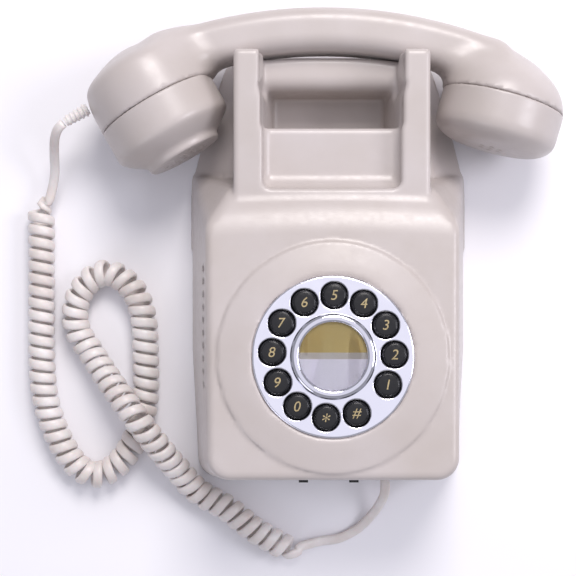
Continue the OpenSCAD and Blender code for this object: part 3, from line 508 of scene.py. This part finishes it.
def handset_shape(x, y, z):
    """A wall of even thickness inside that outside."""
    outside = handset_outside(x, y, z)
    return np.maximum(outside, -outside - WALL)


shell = moulded("moulded_handset_shell", handset_shape, (-123, 46, 0.5), (122, 138, 65.5), 1.3,
                ivory_abs, "handset")
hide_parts("handset_shell")


def cap_maker(centre, axis, profile, disc, holes):
    """A turned cap with its sound holes drilled along its axis, drawn about the cup's axis."""

    def shape(x, y, z):
        r = np.hypot(x, y)
        body = turned_solid(r, z, profile, 1.6)
        if disc:
            raised = np.maximum(round_and(r - disc[0] + (z - 25) * 0.2, z - disc[1], 1.0), 20 - z)
            body = round_or(body, raised, 1.2)
        body = round_and(body, 0.15 - z, 0.4)
        wall = np.maximum(body, -np.maximum(body, 2.6 - z - 9) - WALL)
        for radius, number, turn in holes:
            a = np.arctan2(y, x) - turn
            spread = 2 * np.pi / number
            a = a - spread * np.round(a / spread)
            d = np.hypot(r * np.cos(a) - radius, r * np.sin(a)) if radius else r
            wall = np.maximum(wall, -np.maximum(d - 1.0, 12 - z))
        return wall

    def place(points):
        ax = np.array([axis[0], axis[1], 0.0])
        side = np.array([axis[1], -axis[0], 0.0])
        rise = np.array([0.0, 0.0, 1.0])
        c = np.array([centre[0], centre[1], HANDSET_Z])
        return c + points[:, 2:3] * ax + points[:, 0:1] * rise + points[:, 1:2] * side

    return shape, place


shape, place_cap = cap_maker(MOUTH_C, MOUTH_AXIS, [[29.5, 0], [29.5, 16.5], [27.1, 19.5],
                             [20.5, 24], [19, 25], [0, 25.2]], (19, 28), ((5, 6, 0), (11, 12, 0.2)))
mouthpiece = moulded("moulded_mouthpiece_cap", shape, (-31, -31, -1), (31, 31, 30), 0.9, ivory_abs,
                     "handset", place_cap)
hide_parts("mouth_cap")
shape, place_cap = cap_maker(EAR_C, EAR_AXIS, [[29.5, 0], [29.5, 15.5], [27.9, 18.5],
                             [22.5, 22], [17.5, 22.9], [0, 23]], None, ((0, 1, 0), (5, 6, 0)))
earpiece = moulded("moulded_earpiece_cap", shape, (-31, -31, -1), (31, 31, 25), 0.9, ivory_abs,
                   "handset", place_cap)
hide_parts("ear_cap")

# ---------------------------------------------------------------------------------------------
# Strain relief: a short ribbed boot of the cord's own PVC, moulded round it and held in the
# shell where the cord leaves the mouthpiece end.


def turned(name, profile, steps, place, finish, body):
    """A profile of (radius, height) pairs turned once round its axis, closed at both ends."""
    p = np.array(profile, float)
    a = np.linspace(0, 2 * np.pi, steps, endpoint=False)
    points = np.stack([p[:, :1] * np.cos(a), p[:, :1] * np.sin(a),
                       np.repeat(p[:, 1:2], steps, 1)], -1).reshape(-1, 3)
    end = (len(p) - 1) * steps
    return surface(name, place(points), grid_faces(len(p), steps), finish, body,
                   extra=[list(range(steps))[::-1], list(range(end, end + steps))])


BOOT_START, BOOT_END = np.array([-117, 86.5, 33.0]), np.array([-127.8, 80.2, 33.0])


def along_boot(points):
    """Moves points drawn about the z axis on to the line from the boot's start to its end."""
    way = unit(BOOT_END - BOOT_START)
    rise = np.array([0, 0, 1.0])
    return (BOOT_START + points[:, 2:3] * way + points[:, 0:1] * np.cross(rise, way)
            + points[:, 1:2] * rise)


# Ribs 2.3 mm apart stand 0.8 mm proud of a core that tapers slightly, and stop short of its ends
BOOT_LENGTH, RIB_STEP, RIB_FIRST, CORE_R, RIB_PROUD = 12.45, 2.3, 1.65, 2.7, 0.8
boot_h = np.linspace(0, BOOT_LENGTH, 140)
rib = ramp(np.cos(2 * np.pi * (boot_h - RIB_FIRST) / RIB_STEP), 0.0, 0.75) * ramp(boot_h, 0.6, 1.2)
rib = rib * (1 - ramp(boot_h, 11.4, 12.0))
boot_r = CORE_R - 0.03 * boot_h + (RIB_PROUD - 0.04 * boot_h) * rib
boot_profile = np.stack([boot_r, boot_h], 1)
boot = turned("ribbed_cord_boot", boot_profile, 40, along_boot, soft_pvc, "handset")
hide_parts("strain_relief")

# ---------------------------------------------------------------------------------------------
# Dial plate: a disc of bright-finished aluminium, 1.6 mm thick, with twelve punched holes, and a
# chromed ring in the middle that clamps a clear window over the number card.

KEY_RING_R, KEY_FIRST, KEY_STEP = 27.51, -27.3, 29.05
DISC_R, HOLE_R, DISC_MIDDLE, DISC_HALF, DISC_EDGE = 36.5, 6.1, 2.5, 0.8, 0.35
key_turn = np.radians(KEY_FIRST + KEY_STEP * np.arange(12))


def plate_shape(x, y, z):
    """A thin disc less twelve round holes, with the edges of its rim and holes rounded."""
    rho = np.hypot(x, y)
    near = np.min(np.stack([np.hypot(x - KEY_RING_R * np.cos(t), y - KEY_RING_R * np.sin(t))
                            for t in key_turn]), 0)
    outline = np.maximum(rho - DISC_R, HOLE_R - near)
    return round_and(outline, np.abs(z - DISC_MIDDLE) - DISC_HALF, DISC_EDGE)


# Bright-dipped aluminium: a slightly cool mirror whose reflections blur in handled patches
bright_metal, tree, shader, place = finish_of("aluminium_bright_dipped", "#ececf6", 0.16, Metallic=1.0)
# Fine lint lines from polishing, 0.3 mm apart, and hand prints that dull it in patches
print_marks = add(tree, "TexNoise", {"Scale": 70.0, "Detail": 6.0, "Roughness": 0.6}, {"Vector": place})
dull = add(tree, "MapRange", {"From Min": 0.35, "From Max": 0.7, "To Min": 0.12, "To Max": 0.26},
           {"Value": print_marks.outputs["Fac"]})
tree.links.new(dull.outputs["Result"], shader.inputs["Roughness"])
lint = add(tree, "TexNoise", {"Scale": 3000.0, "Detail": 1.0}, {"Vector": place})
relief = add(tree, "Bump", {"Strength": 0.05, "Distance": 0.00005}, {"Height": lint.outputs["Fac"]})
tree.links.new(relief.outputs["Normal"], shader.inputs["Normal"])
plate = moulded("punched_dial_plate", plate_shape, (-37.6, -37.6, 1.1), (37.6, 37.6, 3.9), 0.55,
                bright_metal, "base", from_face)
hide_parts("dial_plate")

# Polished chrome plate: a darker, sharper mirror than the plate round it, with faint smears
chrome, tree, shader, place = finish_of("chrome_plated_brass_polished", "#dedee8", 0.07, Metallic=1.0)
smear = add(tree, "TexNoise", {"Scale": 160.0, "Detail": 5.0}, {"Vector": place})
dull = add(tree, "MapRange", {"From Min": 0.3, "From Max": 0.75, "To Min": 0.05, "To Max": 0.14},
           {"Value": smear.outputs["Fac"]})
tree.links.new(dull.outputs["Result"], shader.inputs["Roughness"])
# The ring's section (radius, height): a quarter of an oval outside, easing down into the window
RING_STEPS = 120
bulge = np.linspace(0, np.pi / 2, 12)[1:]
section = np.vstack([[[15.25, 3.35], [19.2, 3.35], [19.45, 3.6]],
                     np.stack([17.3 + 2.15 * np.cos(bulge), 3.6 + 2.05 * np.sin(bulge)], 1),
                     [[16.4, 5.66], [15.9, 5.5], [15.5, 5.15], [15.25, 4.7]]])
ring_turn = np.linspace(0, 2 * np.pi, RING_STEPS, endpoint=False)
ring_points = np.stack([section[:, :1] * np.cos(ring_turn), section[:, :1] * np.sin(ring_turn),
                        np.repeat(section[:, 1:2], RING_STEPS, 1)], -1).reshape(-1, 3)
# The section is closed, so its last row joins its first
row, column = np.meshgrid(np.arange(len(section)), np.arange(RING_STEPS), indexing="ij")
next_row, next_column = (row + 1) % len(section), (column + 1) % RING_STEPS
ring_quads = np.stack([row * RING_STEPS + column, row * RING_STEPS + next_column,
                       next_row * RING_STEPS + next_column, next_row * RING_STEPS + column],
                      -1).reshape(-1, 4)
centre_ring = surface("card_clamp_ring", from_face(ring_points), ring_quads, chrome, "base")
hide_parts("card_ring")

# ---------------------------------------------------------------------------------------------
# Push buttons: twelve double-shot ABS buttons with a crowned top, sprung from a rubber mat below,
# each with a gold printed figure. They stand through the plate with a narrow dark gap round them.

# Gloss black ABS: small sharp highlights on the crown, broken up by finger marks
black_abs, tree, shader, place = finish_of("black_abs_moulded_gloss", "#0b0b0f", 0.16, IOR=1.50)
fingers = add(tree, "TexNoise", {"Scale": 420.0, "Detail": 5.0, "Roughness": 0.65}, {"Vector": place})
dull = add(tree, "MapRange", {"From Min": 0.35, "From Max": 0.7, "To Min": 0.12, "To Max": 0.34},
           {"Value": fingers.outputs["Fac"]})
tree.links.new(dull.outputs["Result"], shader.inputs["Roughness"])
# Pad-printed gold ink: a flat mustard tone without a metal's shine, uneven where it has worn
gold_ink, tree, shader, place = finish_of("gold_ink_pad_printed", "#a8976c", 0.45)
worn = add(tree, "TexNoise", {"Scale": 1500.0, "Detail": 4.0}, {"Vector": place})
ink = add(tree, "ValToRGB", {}, {"Fac": worn.outputs["Fac"]})
ink.color_ramp.elements[0].position = 0.3
ink.color_ramp.elements[0].color = linear("#8c7c55")
ink.color_ramp.elements[1].position = 0.6
ink.color_ramp.elements[1].color = linear("#b5a47a")
tree.links.new(ink.outputs["Color"], shader.inputs["Base Color"])

figures = ["1", "2", "3", "4", "5", "6", "7", "8", "9", "0", "star", "hash"]
marks = ["1", "2", "3", "4", "5", "6", "7", "8", "9", "0", "*", "#"]
FIGURE_SIZE, STAR_SIZE, INK_HEIGHT, ABOVE_DOME = 0.0064, 0.0085, 0.00003, 0.07
# A button's crown: an edge rounded by 0.6 mm, then a dome that rises 0.25 mm to its middle
CROWN_R, CROWN_EDGE, CROWN_Z, DOME = 4.4, 0.6, 5.15, 0.25
share = np.linspace(0, 1, 12)
edge_turn, inward = share * np.pi / 2, share[1:-1]
crown_r = np.concatenate([CROWN_R + CROWN_EDGE * np.cos(edge_turn), CROWN_R * (1 - inward) + 0.15])
crown_h = np.concatenate([CROWN_Z - CROWN_EDGE + CROWN_EDGE * np.sin(edge_turn),
                          CROWN_Z + DOME * (1 - (1 - inward) ** 2)])
# Below it are a stem down to the mat, the flange that holds the button in, and a shoulder
key_profile = np.vstack([[[2.4, -3.1], [2.4, 0.3], [6.2, 0.3], [6.2, 1.3], [5.6, 1.3], [5.6, 3.4],
                          [5.45, 3.65], [5.15, 3.7]], np.stack([crown_r, crown_h], 1)])
for figure, mark, turn in zip(figures, marks, key_turn):
    spot = np.array([KEY_RING_R * np.cos(turn), KEY_RING_R * np.sin(turn), 0.0])
    button = turned("button_" + figure + "_cap", key_profile, 40, lambda q: from_face(q + spot),
                    black_abs, "button_" + figure)
    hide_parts("key_" + figure)
    text = bpy.data.curves.new("figure_" + figure, "FONT")
    text.body = mark
    text.size = STAR_SIZE if mark == "*" else FIGURE_SIZE
    text.align_x = "CENTER"
    text.shear = 0.2
    text.extrude = INK_HEIGHT
    lettering = bpy.data.objects.new("figure_" + figure, text)
    bpy.context.scene.collection.objects.link(lettering)
    bpy.context.view_layer.update()
    flat = bpy.data.meshes.new_from_object(lettering.evaluated_get(bpy.context.evaluated_depsgraph_get()))
    bpy.data.objects.remove(lettering)
    # The flat figure is centred, laid on the dome and moved to its button
    ink_points = np.empty(len(flat.vertices) * 3)
    flat.vertices.foreach_get("co", ink_points)
    ink_points = ink_points.reshape(-1, 3) / MM
    middle = (ink_points.min(0) + ink_points.max(0)) / 2
    ink_points[:, :2] -= middle[:2]
    from_middle = np.clip(np.hypot(ink_points[:, 0], ink_points[:, 1]) / CROWN_R, 0, 1)
    ink_points[:, 2] += CROWN_Z + DOME * (1 - from_middle ** 2) + ABOVE_DOME
    flat.vertices.foreach_set("co", (from_face(ink_points + spot) * MM).ravel())
    flat.materials.clear()
    flat.materials.append(gold_ink)
    printed = bpy.data.objects.new("printed_figure_" + figure, flat)
    bpy.context.scene.collection.objects.link(printed)
    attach(printed, "button_" + figure)

# ---------------------------------------------------------------------------------------------
# Number card and its window: a blank printed card, gold above and white below, under a thin disc
# of clear polycarbonate. The ring round them clamps both.


def put_on(material, *names):
    """Gives CAD nodes a finish: every slot they have takes it."""
    for name in names:
        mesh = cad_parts[name].data
        if not mesh.materials:
            mesh.materials.append(material)
        for k in range(len(mesh.materials)):
            mesh.materials[k] = material


# Printed card: a flat, papery surface with no shine, gold above a pale line and white below
CARD_Y, CARD_REACH = -0.031, 0.016
card, tree, shader, place = finish_of("card_printed_two_colours", "#e8e6f0", 0.55)
split = add(tree, "SeparateXYZ", {}, {"Vector": place})
band = add(tree, "MapRange", {"From Min": CARD_Y - CARD_REACH, "From Max": CARD_Y + CARD_REACH,
                              "To Min": 0.0, "To Max": 1.0}, {"Value": split.outputs["Y"]})
tone = add(tree, "ValToRGB", {}, {"Fac": band.outputs["Result"]})
tone.color_ramp.interpolation = "CONSTANT"
tone.color_ramp.elements[0].position = 0.0
tone.color_ramp.elements[0].color = linear("#f4f2fa")
tone.color_ramp.elements[1].position = 0.56
tone.color_ramp.elements[1].color = linear("#d2bd78")
pale = tone.color_ramp.elements.new(0.47)
pale.color = linear("#d5d0c8")
fibre = add(tree, "TexNoise", {"Scale": 1800.0, "Detail": 3.0}, {"Vector": place})
shade = add(tree, "MapRange", {"From Min": 0.3, "From Max": 0.7, "To Min": 0.93, "To Max": 1.0},
            {"Value": fibre.outputs["Fac"]})
mixed = add(tree, "Mix", {"data_type": "RGBA", "blend_type": "MULTIPLY"})
mixed.inputs[0].default_value = 1.0
tree.links.new(tone.outputs["Color"], mixed.inputs[6])
tree.links.new(shade.outputs["Result"], mixed.inputs[7])
tree.links.new(mixed.outputs[2], shader.inputs["Base Color"])
put_on(card, "number_card")

# Clear sheet: only its highlights and fine scratches are seen, over what lies behind it
clear_sheet, tree, shader, place = finish_of("polycarbonate_clear_cut", "#f8f8ff", 0.06, IOR=1.58,
                                             Transmission_Weight=1.0, Alpha=0.25)
wear = add(tree, "TexNoise", {"Scale": 500.0, "Detail": 6.0}, {"Vector": place})
dull = add(tree, "MapRange", {"From Min": 0.4, "From Max": 0.8, "To Min": 0.04, "To Max": 0.16},
           {"Value": wear.outputs["Fac"]})
tree.links.new(dull.outputs["Result"], shader.inputs["Roughness"])
put_on(clear_sheet, "card_window", "cord_plug")

# ---------------------------------------------------------------------------------------------
# Back plate, hook bar, knobs and everything inside: moulded, pressed, wound and etched parts
# that show through the louvres, at the back and when the handset is lifted.


def inside_finish(name, colour, darker, roughness, grain_mm, depth_mm, **sockets):
    """Colour that varies between two tones over six grains, over a bump of one grain."""
    material, tree, shader, place = finish_of(name, colour, roughness, **sockets)
    cloud = add(tree, "TexNoise", {"Scale": 1000.0 / (6 * grain_mm), "Detail": 4.0}, {"Vector": place})
    tone = add(tree, "ValToRGB", {}, {"Fac": cloud.outputs["Fac"]})
    tone.color_ramp.elements[0].position = 0.35
    tone.color_ramp.elements[0].color = linear(darker)
    tone.color_ramp.elements[1].position = 0.65
    tone.color_ramp.elements[1].color = linear(colour)
    tree.links.new(tone.outputs["Color"], shader.inputs["Base Color"])
    grain = add(tree, "TexNoise", {"Scale": 1000.0 / grain_mm, "Detail": 2.0}, {"Vector": place})
    relief = add(tree, "Bump", {"Strength": 0.3, "Distance": depth_mm / 1000.0},
                 {"Height": grain.outputs["Fac"]})
    tree.links.new(relief.outputs["Normal"], shader.inputs["Normal"])
    return material


# Textured ABS is duller than the cover, and the matt black mouldings show only broad highlights
put_on(inside_finish("ivory_abs_moulded_textured", "#cdc4c2", "#c3bab7", 0.5, 0.8, 0.04, IOR=1.53),
       "back_plate", "hook_bar")
put_on(inside_finish("black_abs_moulded_matt", "#1a1a1d", "#131316", 0.42, 0.6, 0.03, IOR=1.53),
       "volume_knob", "mode_knob", "volume_switch", "mode_switch", "hook_switch", "keypad_frame",
       "handset_jack", "line_jack", "microphone_holder")
# Rubber has no shine at all. Solder mask and epoxy have a thin, wet-looking one
put_on(inside_finish("silicone_rubber_moulded", "#3a3a3d", "#303033", 0.7, 0.5, 0.02, IOR=1.43),
       "keypad_mat", "receiver_seal")
put_on(inside_finish("glass_fibre_board_solder_mask", "#1d5230", "#174628", 0.35, 0.5, 0.02, IOR=1.55),
       "main_board", "keypad_board")
put_on(inside_finish("epoxy_and_sleeved_parts", "#2c3458", "#232a49", 0.4, 0.7, 0.02, IOR=1.5),
       "board_parts")
# Zinc-plated steel is a grey, slightly blurred mirror, and the bells' nickel a clearer one
put_on(inside_finish("steel_zinc_plated_pressed", "#b4b5b9", "#a2a4a9", 0.32, 0.9, 0.01, Metallic=1.0),
       "cover_screws", "keypad_screws", "board_screws", "gong_screws", "ringer_bracket", "hook_spring",
       "handset_weight", "receiver_capsule", "microphone_capsule", "clapper")
put_on(inside_finish("bell_steel_nickel_plated", "#d0d1d6", "#c2c3ca", 0.14, 1.2, 0.005, Metallic=1.0),
       "gongs")
# Varnished wire shines warm along its turns, and the ribbon cable is dull and pale
put_on(inside_finish("copper_wire_varnished_wound", "#a8552b", "#8b4522", 0.35, 0.3, 0.05, IOR=1.5),
       "ringer_coil")
put_on(inside_finish("ribbon_cable_pvc", "#b9b5a8", "#a9a598", 0.5, 1.2, 0.05, IOR=1.5), "keypad_cable")
